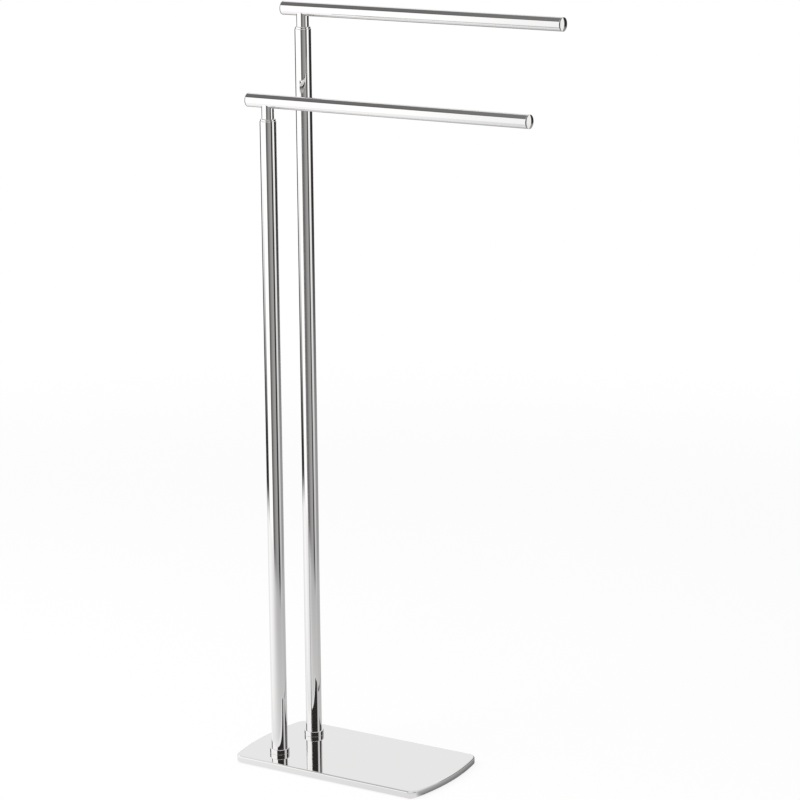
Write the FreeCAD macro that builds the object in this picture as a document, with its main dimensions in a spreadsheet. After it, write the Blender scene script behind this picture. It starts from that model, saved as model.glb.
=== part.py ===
import FreeCAD, Part
import Sketcher
import os

# Freestanding towel stand: a flat weighted base, two posts of unequal height and, on each post,
# an arm that swivels: a coped neck that carries one straight towel bar.
# X runs along the bars at rest, Y from the short front post to the tall rear post, Z up.
# The origin is the middle of the base's underside, on the floor.

doc = FreeCAD.newDocument("towel_stand")

# ---- driving dimensions, in millimetres

driving_sizes = {
    # base
    "plate_length": 308,
    "plate_depth": 170,
    "plate_thickness": 9.5,
    "end_bow": 10.5,
    "corner_radius": 14,
    "top_edge_round": 1.2,
    "under_edge_chamfer": 0.6,
    "mat_thickness": 1.5,
    "mat_inset": 4,
    # posts
    "post_diameter": 22,
    "post_wall": 1.2,
    "post_inset": 57,
    "post_spacing": 86,
    "collar_diameter": 26.8,
    "collar_height": 7,
    "collar_chamfer": 0.5,
    # post fixing from below
    "plug_length": 24,
    "screw_diameter": 8,
    "screw_length": 20,
    "screw_head_diameter": 13,
    "screw_head_height": 5,
    "screw_head_recess": 0.4,
    "screw_socket_width": 5,
    "screw_socket_depth": 3,
    "lock_washer_thickness": 0.8,
    # arms
    "front_bar_height": 916.5,
    "rear_bar_height": 1029.5,
    "bar_diameter": 18,
    "bar_wall": 1,
    "bar_length": 426,
    "bar_overhang": 30,
    "neck_diameter": 16.5,
    "neck_length": 14.5,
    "cap_overlap": 0.15,
    "cap_rim": 0.4,
    "cap_crown": 2.3,
    "cap_plug_length": 10,
    "cap_plug_wall": 1.5,
    "anchor_length": 24,
    "stud_diameter": 6,
    "stud_depth": 11,
    "stud_rise": 5.5,
    # swivel
    "bush_lip": 2.6,
    "bush_lip_chamfer": 0.4,
    "bush_depth": 20,
    "spigot_diameter": 10,
    "sleeve_wall": 1,
    "flange_thickness": 1.3,
    "flange_stand_out": 0.3,
    "flange_set_back": 0.4,
    "spring_thickness": 0.7,
    "spring_height": 1.2,
    "spring_set_back": 1.5,
    "retainer_thickness": 1.5,
    "retaining_screw_diameter": 5,
    "retaining_screw_length": 14,
    "retaining_head_diameter": 8.5,
    "retaining_head_height": 5,
    "retaining_socket_width": 4,
    "retaining_socket_depth": 2.5,
    # clearances, each on the radius
    "fit_clearance": 0.05,
    "running_clearance": 0.08,
    "hole_clearance": 0.4,
    "thread_run_out": 1.5,
}

# ---- values that follow from them

worked_sizes = {
    "plate_top": "sizes.mat_thickness + sizes.plate_thickness",
    "end_radius": "(sizes.plate_depth ^ 2 / 4 + sizes.end_bow ^ 2) / (2 * sizes.end_bow)",
    "post_line": "sizes.post_inset - sizes.plate_length / 2",
    "front_line": "-sizes.post_spacing / 2",
    "rear_line": "sizes.post_spacing / 2",
    "post_radius": "sizes.post_diameter / 2",
    "plug_radius": "sizes.post_diameter / 2 - sizes.post_wall - sizes.fit_clearance",
    "screw_seat": "sizes.screw_head_recess + sizes.screw_head_height",
    "counterbore_depth": "sizes.screw_head_recess + sizes.screw_head_height + sizes.lock_washer_thickness",
    "bar_radius": "sizes.bar_diameter / 2",
    "bar_plug_radius": "sizes.bar_diameter / 2 - sizes.bar_wall - sizes.fit_clearance",
    "arm_drop": "sizes.bar_diameter / 2 + sizes.neck_length",
    "post_drop": "sizes.bar_diameter / 2 + sizes.neck_length + sizes.bush_lip",
    "front_post_end": "sizes.front_bar_height - post_drop",
    "rear_post_end": "sizes.rear_bar_height - post_drop",
    "spigot_radius": "sizes.spigot_diameter / 2",
    "sleeve_bore": "sizes.spigot_diameter / 2 + sizes.running_clearance",
    "sleeve_radius": "sleeve_bore + sizes.sleeve_wall",
    "bush_bore": "sleeve_radius + sizes.fit_clearance",
    "flange_radius": "sizes.neck_diameter / 2 - sizes.flange_set_back",
    "flange_seat": "sizes.bush_lip + sizes.flange_stand_out - sizes.flange_thickness",
    "spring_radius": "plug_radius - sizes.spring_set_back",
    "spigot_end": "sizes.bush_depth + sizes.spring_height",
}

sides = ("front", "rear")
pieces = []


def fill_sheet(name, cells):
    sheet = doc.addObject("Spreadsheet::Sheet", name)
    for row, (alias, content) in enumerate(cells.items(), start=1):
        sheet.set(f"A{row}", alias.replace("_", " "))
        sheet.set(f"B{row}", str(content))
        sheet.setAlias(f"B{row}", alias)
    doc.recompute()
    return sheet


sizes = fill_sheet("sizes", driving_sizes)
worked = fill_sheet("worked", {alias: "=" + formula for alias, formula in worked_sizes.items()})


# ---- sketch and feature helpers

def value_of(expression):
    result = sizes.evalExpression(expression)
    return float(getattr(result, "Value", result))


def start_body(name):
    body = doc.addObject("PartDesign::Body", name)
    body.Label = name
    pieces.append(body)
    return body


def place(body, along, back, up):
    body.setExpression("Placement.Base.x", along)
    body.setExpression("Placement.Base.y", back)
    body.setExpression("Placement.Base.z", up)


def origin_feature(body, role):
    return next(feature for feature in body.Origin.OriginFeatures if feature.Role == role)


def start_sketch(body, name, plane):
    sketch = body.newObject("Sketcher::SketchObject", name)
    sketch.AttachmentSupport = (origin_feature(body, plane), [""])
    sketch.MapMode = "FlatFace"
    return sketch


def tie(sketch, expression, kind, *places):
    index = sketch.addConstraint(Sketcher.Constraint(kind, *places, value_of(expression)))
    sketch.setExpression(f"Constraints[{index}]", expression)


def tie_point(sketch, geometry, point, across, up):
    # the sketch's own axes are -2 (upright) and -1 (level), its origin is point 1 of -1
    if across == "0":
        sketch.addConstraint(Sketcher.Constraint("PointOnObject", geometry, point, -2))
    else:
        tie(sketch, across, "DistanceX", -1, 1, geometry, point)
    if up == "0":
        sketch.addConstraint(Sketcher.Constraint("PointOnObject", geometry, point, -1))
    else:
        tie(sketch, up, "DistanceY", -1, 1, geometry, point)


def draw_circle(sketch, radius, across="0", up="0"):
    centre = FreeCAD.Vector(value_of(across), value_of(up), 0)
    circle = sketch.addGeometry(Part.Circle(centre, FreeCAD.Vector(0, 0, 1), value_of(radius)))
    tie_point(sketch, circle, 3, across, up)
    tie(sketch, radius, "Radius", circle)


def draw_outline(sketch, corners):
    """A closed straight-sided outline; each corner is a pair of expressions, across and up."""
    spots = [FreeCAD.Vector(value_of(across), value_of(up), 0) for across, up in corners]
    for spot, following in zip(spots, spots[1:] + spots[:1]):
        sketch.addGeometry(Part.LineSegment(spot, following))
    for line, (across, up) in enumerate(corners):
        sketch.addConstraint(Sketcher.Constraint("Coincident", line, 1, (line - 1) % len(corners), 2))
        tie_point(sketch, line, 1, across, up)


def pad(body, sketch, length, both_ways=False):
    feature = body.newObject("PartDesign::Pad", sketch.Name + "_pad")
    feature.Profile = sketch
    feature.SideType = "Symmetric" if both_ways else "One side"
    feature.setExpression("Length", length)
    return feature


def turn(body, sketch, axis="V_Axis"):
    feature = body.newObject("PartDesign::Revolution", sketch.Name + "_turn")
    feature.Profile = sketch
    feature.ReferenceAxis = (sketch, [axis])
    feature.Angle = 360
    return feature


def cut(body, sketch, depth=None, upward=False, both_ways=False):
    """Cuts the sketch downwards from its plane, or upwards, and makes sure that material went."""
    before = body.Shape.Volume
    feature = body.newObject("PartDesign::Pocket", sketch.Name + "_cut")
    feature.Profile = sketch
    feature.Reversed = upward
    feature.SideType = "Symmetric" if both_ways else "One side"
    if depth is None:
        feature.Type = "ThroughAll"
    else:
        feature.Type = "Length"
        feature.setExpression("Length", depth)
    doc.recompute()
    if not body.Shape.Volume < before:
        raise RuntimeError(feature.Name + " removed nothing")
    return feature


def turned_body(name, corners):
    body = start_body(name)
    profile = start_sketch(body, name + "_profile", "XZ_Plane")
    draw_outline(profile, corners)
    turn(body, profile)
    doc.recompute()
    return body


def tube_body(name, outer, inner, length, plane, start="0"):
    body = start_body(name)
    section = start_sketch(body, name + "_section", plane)
    section.setExpression("AttachmentOffset.Base.z", start)
    draw_circle(section, outer)
    draw_circle(section, inner)
    pad(body, section, length)
    doc.recompute()
    return body


def ring_body(name, outer, inner, thickness):
    return tube_body(name, outer, inner, thickness, "XY_Plane")


def cut_socket(body, width, depth, level):
    """A hexagon socket that opens downwards at the given level."""
    socket = start_sketch(body, body.Name + "_socket", "XY_Plane")
    socket.setExpression("AttachmentOffset.Base.z", level)
    draw_outline(socket, [
        (f"{width} / sqrt(3) * cos({turned} deg)", f"{width} / sqrt(3) * sin({turned} deg)")
        for turned in range(30, 390, 60)
    ])
    return cut(body, socket, depth, upward=True)


def repeat_at_rear_post(body):
    """The same piece again under the rear post, as a second separate solid of the same node."""
    body.AllowCompound = True
    originals = [feature for feature in body.Group if hasattr(feature, "AddSubShape")]
    pattern = body.newObject("PartDesign::LinearPattern", body.Name + "_pair")
    pattern.Originals = originals
    pattern.Direction = (origin_feature(body, "Y_Axis"), [""])
    pattern.Occurrences = 2
    pattern.setExpression("Length", "sizes.post_spacing")
    body.Tip = pattern
    doc.recompute()


def names_of(feature, wanted):
    return [f"Edge{number}" for number, edge in enumerate(feature.Shape.Edges, 1) if wanted(edge)]


def soften(body, kind, base, edges, size):
    feature = body.newObject("PartDesign::" + kind, f"{body.Name}_{kind.lower()}{len(body.Group)}")
    feature.Base = (base, edges)
    feature.setExpression("Radius" if kind == "Fillet" else "Size", size)
    doc.recompute()
    return feature


# ---- base

def slab(name, thickness, inset):
    """Straight long edges, bowed short ends and rounded corners, set in from the plate's outline."""
    body = start_body(name)
    outline = start_sketch(body, name + "_outline", "XY_Plane")
    half_depth = f"(sizes.plate_depth / 2 - {inset})"
    bow_radius = f"(worked.end_radius - {inset})"
    bow_centre = "(sizes.plate_length / 2 - worked.end_radius)"
    depth, radius, centre = value_of(half_depth), value_of(bow_radius), value_of(bow_centre)
    reach = centre + (radius ** 2 - depth ** 2) ** 0.5
    front_left, front_right = FreeCAD.Vector(-reach, -depth, 0), FreeCAD.Vector(reach, -depth, 0)
    back_right, back_left = FreeCAD.Vector(reach, depth, 0), FreeCAD.Vector(-reach, depth, 0)
    right_end, left_end = FreeCAD.Vector(centre + radius, 0, 0), FreeCAD.Vector(-centre - radius, 0, 0)
    outline.addGeometry(Part.LineSegment(front_left, front_right))
    outline.addGeometry(Part.Arc(front_right, right_end, back_right))
    outline.addGeometry(Part.LineSegment(back_right, back_left))
    outline.addGeometry(Part.Arc(back_left, left_end, front_left))
    for side in range(4):
        outline.addConstraint(Sketcher.Constraint("Coincident", side, 2, (side + 1) % 4, 1))
    for side, level in ((0, "-" + half_depth), (2, half_depth)):
        outline.addConstraint(Sketcher.Constraint("Horizontal", side))
        tie(outline, level, "DistanceY", -1, 1, side, 1)
    for side, across in ((1, bow_centre), (3, "-" + bow_centre)):
        tie_point(outline, side, 3, across, "0")
        tie(outline, bow_radius, "Radius", side)
    plain = pad(body, outline, thickness)
    doc.recompute()
    corners = names_of(plain, lambda edge: edge.BoundBox.ZLength > 0.5 * plain.Shape.BoundBox.ZLength)
    return body, soften(body, "Fillet", plain, corners, f"sizes.corner_radius - {inset}")


def base_plate():
    body, rounded = slab("base_plate", "sizes.plate_thickness", "0")
    top = rounded.Shape.BoundBox.ZMax
    upper = names_of(rounded, lambda edge: edge.BoundBox.ZMin > top - 0.01)
    eased = soften(body, "Fillet", rounded, upper, "sizes.top_edge_round")
    lower = names_of(eased, lambda edge: edge.BoundBox.ZMax < 0.01)
    soften(body, "Chamfer", eased, lower, "sizes.under_edge_chamfer")
    for hole, radius, depth in (
        ("screw_holes", "sizes.screw_diameter / 2 + sizes.hole_clearance", None),
        ("counterbores", "sizes.screw_head_diameter / 2 + sizes.hole_clearance", "worked.counterbore_depth"),
    ):
        sketch = start_sketch(body, hole, "XY_Plane")
        for line in ("worked.front_line", "worked.rear_line"):
            draw_circle(sketch, radius, "worked.post_line", line)
        cut(body, sketch, depth, upward=True)
    place(body, "0", "0", "sizes.mat_thickness")


def base_mat():
    body, _ = slab("base_mat", "sizes.mat_thickness", "sizes.mat_inset")
    place(body, "0", "0", "0")


def base_screws():
    shank, head = "sizes.screw_diameter / 2", "sizes.screw_head_diameter / 2"
    body = turned_body("base_screws", [
        ("0", "-sizes.screw_head_height"),
        (head, "-sizes.screw_head_height"),
        (head, "0"),
        (shank, "0"),
        (shank, "sizes.screw_length"),
        ("0", "sizes.screw_length"),
    ])
    cut_socket(body, "sizes.screw_socket_width", "sizes.screw_socket_depth", "-sizes.screw_head_height")
    repeat_at_rear_post(body)
    place(body, "worked.post_line", "worked.front_line", "sizes.mat_thickness + worked.screw_seat")


def base_lock_washers():
    body = ring_body(
        "base_lock_washers",
        "sizes.screw_head_diameter / 2",
        "sizes.screw_diameter / 2 + sizes.fit_clearance",
        "sizes.lock_washer_thickness",
    )
    repeat_at_rear_post(body)
    place(body, "worked.post_line", "worked.front_line", "sizes.mat_thickness + worked.screw_seat")


# ---- posts

def post(side):
    body = tube_body(
        side + "_post",
        "worked.post_radius",
        "worked.post_radius - sizes.post_wall",
        f"worked.{side}_post_end - worked.plate_top",
        "XY_Plane",
    )
    place(body, "worked.post_line", f"worked.{side}_line", "worked.plate_top")


def post_plug(side):
    body = ring_body(
        side + "_post_plug",
        "worked.plug_radius",
        "sizes.screw_diameter / 2 + sizes.fit_clearance",
        "sizes.plug_length",
    )
    place(body, "worked.post_line", f"worked.{side}_line", "worked.plate_top")


def collar(side):
    bore, rim = "worked.post_radius + sizes.fit_clearance", "sizes.collar_diameter / 2"
    body = turned_body(side + "_collar", [
        (bore, "0"),
        (rim, "0"),
        (rim, "sizes.collar_height - sizes.collar_chamfer"),
        (rim + " - sizes.collar_chamfer", "sizes.collar_height"),
        (bore, "sizes.collar_height"),
    ])
    place(body, "worked.post_line", f"worked.{side}_line", "worked.plate_top")


def top_bush(side):
    """Sits in the tube's end; its lip is the ring at the top of the post and holds the sleeve's flange."""
    recess = "worked.flange_radius + sizes.fit_clearance"
    body = turned_body(side + "_top_bush", [
        ("worked.bush_bore", "-sizes.bush_depth"),
        ("worked.plug_radius", "-sizes.bush_depth"),
        ("worked.plug_radius", "0"),
        ("worked.post_radius", "0"),
        ("worked.post_radius", "sizes.bush_lip - sizes.bush_lip_chamfer"),
        ("worked.post_radius - sizes.bush_lip_chamfer", "sizes.bush_lip"),
        (recess, "sizes.bush_lip"),
        (recess, "worked.flange_seat"),
        ("worked.bush_bore", "worked.flange_seat"),
    ])
    place(body, "worked.post_line", f"worked.{side}_line", f"worked.{side}_post_end")


def sleeve(side):
    """Bearing sleeve between bush and spigot; the neck's shoulder turns on its flange."""
    body = turned_body(side + "_sleeve", [
        ("worked.sleeve_bore", "-sizes.bush_depth"),
        ("worked.sleeve_radius", "-sizes.bush_depth"),
        ("worked.sleeve_radius", "worked.flange_seat"),
        ("worked.flange_radius", "worked.flange_seat"),
        ("worked.flange_radius", "sizes.bush_lip + sizes.flange_stand_out"),
        ("worked.sleeve_bore", "sizes.bush_lip + sizes.flange_stand_out"),
    ])
    place(body, "worked.post_line", f"worked.{side}_line", f"worked.{side}_post_end")


# ---- arms; what sits on the neck is drawn about the point where swivel axis and bar axis cross

def place_on_arm(body, side, along="0", down="0"):
    place(
        body,
        f"worked.post_line + {along}",
        f"worked.{side}_line",
        f"sizes.{side}_bar_height - {down}",
    )


def neck(side):
    """Stepped neck: a spigot for the swivel below, and above it a body coped to the bar's curve."""
    shoulder = "-worked.arm_drop + sizes.flange_stand_out"
    spigot_end = "-worked.post_drop - worked.spigot_end"
    stud_bore = "sizes.stud_diameter / 2 + sizes.fit_clearance"
    stud_floor = "-worked.bar_radius - sizes.stud_depth - sizes.thread_run_out"
    screw_bore = "sizes.retaining_screw_diameter / 2 + sizes.fit_clearance"
    screw_floor = spigot_end + " - sizes.retainer_thickness + sizes.retaining_screw_length + sizes.thread_run_out"
    body = turned_body(side + "_neck", [
        (stud_bore, "0"),
        ("sizes.neck_diameter / 2", "0"),
        ("sizes.neck_diameter / 2", shoulder),
        ("worked.spigot_radius", shoulder),
        ("worked.spigot_radius", spigot_end),
        (screw_bore, spigot_end),
        (screw_bore, screw_floor),
        ("0", screw_floor),
        ("0", stud_floor),
        (stud_bore, stud_floor),
    ])
    saddle = start_sketch(body, side + "_saddle", "YZ_Plane")
    draw_circle(saddle, "worked.bar_radius + sizes.fit_clearance")
    cut(body, saddle, both_ways=True)
    place_on_arm(body, side)


def neck_stud(side):
    body = turned_body(side + "_neck_stud", [
        ("0", "-worked.bar_radius - sizes.stud_depth"),
        ("sizes.stud_diameter / 2", "-worked.bar_radius - sizes.stud_depth"),
        ("sizes.stud_diameter / 2", "sizes.stud_rise"),
        ("0", "sizes.stud_rise"),
    ])
    place_on_arm(body, side)


def disc_spring(side):
    """Shallow cone: its rim bears up on the bush, its bore edge down on the retaining washer."""
    inner = "worked.spigot_radius + sizes.hole_clearance"
    body = turned_body(side + "_disc_spring", [
        (inner, "-sizes.spring_height"),
        ("worked.spring_radius", "-sizes.spring_thickness"),
        ("worked.spring_radius", "0"),
        (inner, "-sizes.spring_height + sizes.spring_thickness"),
    ])
    place_on_arm(body, side, down="(worked.post_drop + sizes.bush_depth)")


def retaining_washer(side):
    body = ring_body(
        side + "_retaining_washer",
        "worked.spring_radius",
        "sizes.retaining_screw_diameter / 2 + sizes.hole_clearance",
        "sizes.retainer_thickness",
    )
    place_on_arm(body, side, down="(worked.post_drop + worked.spigot_end + sizes.retainer_thickness)")


def retaining_screw(side):
    shank, head = "sizes.retaining_screw_diameter / 2", "sizes.retaining_head_diameter / 2"
    body = turned_body(side + "_retaining_screw", [
        ("0", "-sizes.retaining_head_height"),
        (head, "-sizes.retaining_head_height"),
        (head, "0"),
        (shank, "0"),
        (shank, "sizes.retaining_screw_length"),
        ("0", "sizes.retaining_screw_length"),
    ])
    cut_socket(
        body,
        "sizes.retaining_socket_width",
        "sizes.retaining_socket_depth",
        "-sizes.retaining_head_height",
    )
    place_on_arm(body, side, down="(worked.post_drop + worked.spigot_end + sizes.retainer_thickness)")


def bar(side):
    body = tube_body(
        side + "_bar",
        "worked.bar_radius",
        "worked.bar_radius - sizes.bar_wall",
        "sizes.bar_length",
        "YZ_Plane",
        start="-sizes.bar_overhang",
    )
    stud_hole = start_sketch(body, side + "_stud_hole", "XY_Plane")
    draw_circle(stud_hole, "sizes.stud_diameter / 2 + sizes.hole_clearance")
    cut(body, stud_hole)
    place_on_arm(body, side)


def bar_anchor(side):
    """Round anchor inside the bar, tapped across for the stud."""
    body = start_body(side + "_bar_anchor")
    section = start_sketch(body, side + "_anchor_section", "YZ_Plane")
    draw_circle(section, "worked.bar_plug_radius")
    pad(body, section, "sizes.anchor_length", both_ways=True)
    doc.recompute()
    thread = start_sketch(body, side + "_anchor_thread", "XY_Plane")
    draw_circle(thread, "sizes.stud_diameter / 2 + sizes.fit_clearance")
    cut(body, thread, both_ways=True)
    place_on_arm(body, side)


def end_cap(side, end, along, turned):
    """Push-in cap with a shallow crown; drawn with its seat at the origin and its crown towards +X."""
    body = start_body(f"{side}_{end}_cap")
    profile = start_sketch(body, body.Name + "_profile", "XZ_Plane")
    rim = "(worked.bar_radius + sizes.cap_overlap)"
    bore = "(worked.bar_plug_radius - sizes.cap_plug_wall)"
    draw_outline_with_crown(profile, rim, [
        ("0", rim),
        ("0", "worked.bar_plug_radius"),
        ("-sizes.cap_plug_length", "worked.bar_plug_radius"),
        ("-sizes.cap_plug_length", bore),
        ("0", bore),
        ("0", "0"),
    ])
    turn(body, profile, axis="H_Axis")
    doc.recompute()
    body.Placement.Rotation = FreeCAD.Rotation(FreeCAD.Vector(0, 0, 1), turned)
    place_on_arm(body, side, along=along)


def draw_outline_with_crown(sketch, rim, inner_corners):
    """The crown is an arc about the sketch's level axis, from the apex to the cap's rim."""
    apex, edge = "sizes.cap_rim + sizes.cap_crown", "sizes.cap_rim"
    corners = [(apex, "0"), (edge, rim)] + inner_corners
    spots = [FreeCAD.Vector(value_of(across), value_of(up), 0) for across, up in corners]
    rise, reach = value_of("sizes.cap_crown"), value_of(rim)
    centre = FreeCAD.Vector(spots[0].x - (rise ** 2 + reach ** 2) / (2 * rise), 0, 0)
    middle = centre + (spots[0] - centre + spots[1] - centre).normalize() * (spots[0].x - centre.x)
    sketch.addGeometry(Part.Arc(spots[0], middle, spots[1]))
    for spot, following in zip(spots[1:], spots[2:] + spots[:1]):
        sketch.addGeometry(Part.LineSegment(spot, following))
    for side, (across, up) in enumerate(corners):
        sketch.addConstraint(Sketcher.Constraint("Coincident", side, 1, (side - 1) % len(corners), 2))
        tie_point(sketch, side, 1, across, up)
    sketch.addConstraint(Sketcher.Constraint("PointOnObject", 0, 3, -1))


# ---- the whole stand

base_plate()
base_mat()
base_screws()
base_lock_washers()
for side in sides:
    post(side)
    post_plug(side)
    collar(side)
    top_bush(side)
    sleeve(side)
    neck(side)
    neck_stud(side)
    disc_spring(side)
    retaining_washer(side)
    retaining_screw(side)
    bar(side)
    bar_anchor(side)
    end_cap(side, "near", "-sizes.bar_overhang", 180)
    end_cap(side, "far", "sizes.bar_length - sizes.bar_overhang", 0)
doc.recompute()

for thing in doc.Objects:
    if "Invalid" in thing.State or "Error" in thing.State:
        raise RuntimeError(f"{thing.Name} did not recompute: {thing.State}")
for piece in pieces:
    if piece.Shape.isNull() or not piece.Shape.isValid():
        raise RuntimeError(piece.Name + " has no valid shape")

os.makedirs("parts", exist_ok=True)
for piece in pieces:
    piece.Shape.exportStep(f"parts/{piece.Label}.step")
    box = piece.Shape.BoundBox
    print(f"{piece.Label:26s} {len(piece.Shape.Solids)} solid  {piece.Shape.Volume:11.1f} mm3"
          f"  z {box.ZMin:8.2f} to {box.ZMax:8.2f}")
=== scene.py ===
import bpy
import math
from mathutils import Matrix, Vector


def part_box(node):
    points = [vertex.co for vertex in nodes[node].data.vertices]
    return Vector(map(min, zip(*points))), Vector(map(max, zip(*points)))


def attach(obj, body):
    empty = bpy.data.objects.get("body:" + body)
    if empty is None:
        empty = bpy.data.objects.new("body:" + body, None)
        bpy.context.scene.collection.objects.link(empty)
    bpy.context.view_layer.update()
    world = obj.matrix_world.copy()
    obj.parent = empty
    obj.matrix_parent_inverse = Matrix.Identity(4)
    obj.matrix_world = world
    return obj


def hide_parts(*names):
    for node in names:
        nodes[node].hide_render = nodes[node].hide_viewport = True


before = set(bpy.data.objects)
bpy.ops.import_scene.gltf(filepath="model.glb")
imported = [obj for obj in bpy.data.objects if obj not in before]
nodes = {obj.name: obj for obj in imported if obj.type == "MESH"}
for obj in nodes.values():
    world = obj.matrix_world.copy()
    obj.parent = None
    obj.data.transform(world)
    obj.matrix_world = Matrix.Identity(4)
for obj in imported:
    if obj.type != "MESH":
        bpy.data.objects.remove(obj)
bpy.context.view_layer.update()        # the imported stand's nodes, in place
scene = bpy.context.scene
print("frame loaded:", len(nodes), "pieces")


# small helpers for node trees

def setInput(socket, value):
    # a socket is linked, a plain value is set
    if isinstance(value, bpy.types.NodeSocket):
        socket.id_data.links.new(value, socket)
    else:
        socket.default_value = value


def addNode(tree, kind, inputs=None, **settings):
    # inputs holds plain values and sockets by name or number
    node = tree.nodes.new(kind)
    for name, value in settings.items():
        setattr(node, name, value)
    for name, value in (inputs or {}).items():
        setInput(node.inputs[name], value)
    return node


def nodeOut(tree, kind, inputs=None, **settings):
    return addNode(tree, kind, inputs, **settings).outputs[0]


def doMath(operation, *values):
    # values are numbers and sockets; the node goes into the tree that the first socket is in
    tree = next(value.id_data for value in values if isinstance(value, bpy.types.NodeSocket))
    return nodeOut(tree, "ShaderNodeMath", dict(enumerate(values)), operation=operation)


def plus(first, second):
    return doMath("ADD", first, second)


def minus(first, second):
    return doMath("SUBTRACT", first, second)


def times(first, second):
    return doMath("MULTIPLY", first, second)


def over(first, second):
    return doMath("DIVIDE", first, second)


def doVector(operation, vector, other=None):
    # other is a number for SCALE and a vector otherwise; LENGTH and DOT_PRODUCT give a number
    inputs = {0: vector}
    if other is not None:
        inputs["Scale" if operation == "SCALE" else 1] = other
    node = addNode(vector.id_data, "ShaderNodeVectorMath", inputs, operation=operation)
    return node.outputs["Value" if operation in ("LENGTH", "DOT_PRODUCT") else "Vector"]


def axesOf(vector):
    return addNode(vector.id_data, "ShaderNodeSeparateXYZ", {0: vector}).outputs


def mapRange(value, low, high, newLow=0.0, newHigh=1.0, smooth=True):
    return nodeOut(value.id_data, "ShaderNodeMapRange",
                   {"Value": value, "From Min": low, "From Max": high, "To Min": newLow, "To Max": newHigh},
                   interpolation_type="SMOOTHSTEP" if smooth else "LINEAR")


def mixColor(factor, first, second):
    return addNode(factor.id_data, "ShaderNodeMix", {0: factor, 6: first, 7: second},
                   data_type="RGBA").outputs[2]


def grey(level):
    return (level, level, level, 1.0)


socketKinds = {float: "Float", int: "Int", tuple: "Vector"}


def newGroup(name, inputs, outputs, kind="ShaderNodeTree"):
    # a default says what its socket carries: a number, a whole number, a vector, or a kind by its name
    group = bpy.data.node_groups.new(name, kind)
    for direction, sockets in (("INPUT", inputs), ("OUTPUT", outputs)):
        for socketName, default in sockets.items():
            named = isinstance(default, str)
            carried = default if named else socketKinds[type(default)]
            socket = group.interface.new_socket(
                socketName, in_out=direction, socket_type="NodeSocket" + carried)
            if not named:
                socket.default_value = default
    return group, group.nodes.new("NodeGroupInput").outputs, group.nodes.new("NodeGroupOutput").inputs


# shared surface effects

# where in its noise or cells each kind of mark sets in and is full
smudgeSpans = {"marks": (0.46, 0.72), "specks": (0.07, 0.02), "patches": (0.5, 0.6), "wear": (0.55, 0.75)}


def buildSmudges():
    # faint wiping marks and dust on a polished surface, sizes in metres
    group, given, result = newGroup(
        "smudges",
        {"Vector": (0.0, 0.0, 0.0), "Roughness": 0.04, "Mark Size": 0.03, "Marks": 0.03,
         "Dust Size": 0.004, "Dust": 0.1},
        {"Roughness": 0.0, "Dust": 0.0})
    place = given["Vector"]
    markScale, dustScale = (over(1.0, given[size]) for size in ("Mark Size", "Dust Size"))
    marks = nodeOut(group, "ShaderNodeTexNoise", {"Vector": place, "Scale": markScale, "Detail": 5.0,
                                                  "Roughness": 0.62, "Distortion": 0.6})
    specks = nodeOut(group, "ShaderNodeTexVoronoi", {"Vector": place, "Scale": dustScale})
    patches = nodeOut(group, "ShaderNodeTexNoise", {"Vector": place, "Scale": markScale})
    dust = times(mapRange(specks, *smudgeSpans["specks"]), mapRange(patches, *smudgeSpans["patches"]))
    rough = doMath("MULTIPLY_ADD", mapRange(marks, *smudgeSpans["marks"]), given["Marks"], given["Roughness"])
    setInput(result["Roughness"], doMath("MULTIPLY_ADD", dust, given["Dust"], rough))
    setInput(result["Dust"], dust)
    return group


grainDetail = {"Coarse": 3.0, "Fine": 2.0}
fineShare = 0.35         # how deep the fine lines are beside the coarse ones


def buildGrainLines():
    # fine lines left by drawing, turning or polishing: Vector is already stretched along them
    group, given, result = newGroup(
        "grainLines", {"Vector": (0.0, 0.0, 0.0), "Coarse": 1.0, "Fine": 6.0}, {"Height": 0.0, "Wear": 0.0})
    coarse, fine = (nodeOut(group, "ShaderNodeTexNoise",
                            {"Vector": given["Vector"], "Scale": given[size], "Detail": detail})
                    for size, detail in grainDetail.items())
    setInput(result["Height"], doMath("MULTIPLY_ADD", fine, fineShare, coarse))
    setInput(result["Wear"], mapRange(fine, *smudgeSpans["wear"]))
    return group


smudges = buildSmudges()
grainLines = buildGrainLines()


# finishes

def emptyTree(owner):
    # owner is a material or the world
    owner.use_nodes = True
    owner.node_tree.nodes.clear()
    return owner.node_tree


def objectPlace(tree):
    return addNode(tree, "ShaderNodeTexCoord").outputs["Object"]


def startMaterial(name, **settings):
    # a material with its Principled shader; constant values go straight onto the shader
    material = bpy.data.materials.new(name)
    tree = emptyTree(material)
    shader = addNode(tree, "ShaderNodeBsdfPrincipled", settings)
    addNode(tree, "ShaderNodeOutputMaterial", {0: shader.outputs[0]})
    return material, tree, shader.inputs, objectPlace(tree)


def bumpFrom(surface, height, distance):
    bump = nodeOut(height.id_data, "ShaderNodeBump", {"Height": height, "Distance": distance})
    setInput(surface["Normal"], bump)


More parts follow.
